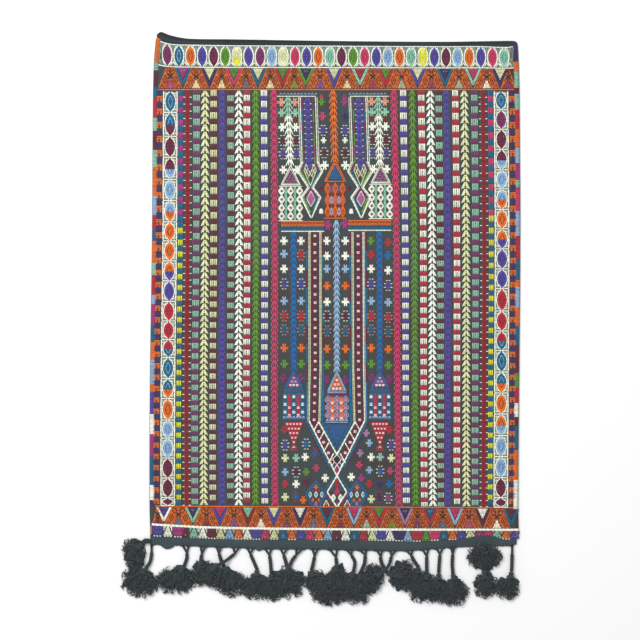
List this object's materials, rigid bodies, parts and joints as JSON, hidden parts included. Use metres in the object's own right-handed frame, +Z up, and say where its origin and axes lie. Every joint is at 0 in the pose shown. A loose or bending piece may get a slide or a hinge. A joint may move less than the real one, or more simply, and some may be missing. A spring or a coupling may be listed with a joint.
{
  "type": "brocaded woven wool cloth",
  "caption": "Flat-woven wool cloth lying face up: brocaded columns and cross bands in many colours on a dark ground, a dark bound top edge, and bushy dark tassels on twisted cords below.",
  "frame": {"origin": "on the surface that the cloth lies on, below the middle of the whole piece with its tassels", "axes": "+Z up out of the patterned face; +Y along the columns, from the tassels to the bound edge; +X to the right seen from above"},
  "size_m": [0.8008, 1.1468, 0.015],
  "materials": {
    "woven_cloth": "matt flat-woven and brocaded wool, many colours on a charcoal ground",
    "top_binding": "matt wool strands, blue-black and brown-black",
    "fringe_heading": "matt plain-woven charcoal wool, with twisted cords",
    "tassel_wool": "matt charcoal wool locks with brownish tips"
  },
  "bodies": {
    "root": {"woven_cloth": "woven_cloth", "top_binding": "top_binding", "fringe_heading": "fringe_heading", "tassel_01": "tassel_wool", "tassel_02": "tassel_wool", "tassel_03": "tassel_wool", "tassel_04": "tassel_wool", "tassel_05": "tassel_wool", "tassel_06": "tassel_wool", "tassel_07": "tassel_wool", "tassel_08": "tassel_wool", "tassel_09": "tassel_wool", "tassel_10": "tassel_wool", "tassel_11": "tassel_wool", "tassel_12": "tassel_wool", "tassel_13": "tassel_wool", "tassel_14": "tassel_wool", "tassel_15": "tassel_wool", "tassel_16": "tassel_wool", "tassel_17": "tassel_wool", "tassel_18": "tassel_wool", "tassel_19": "tassel_wool", "tassel_20": "tassel_wool", "tassel_21": "tassel_wool"}
  },
  "joints": []
}
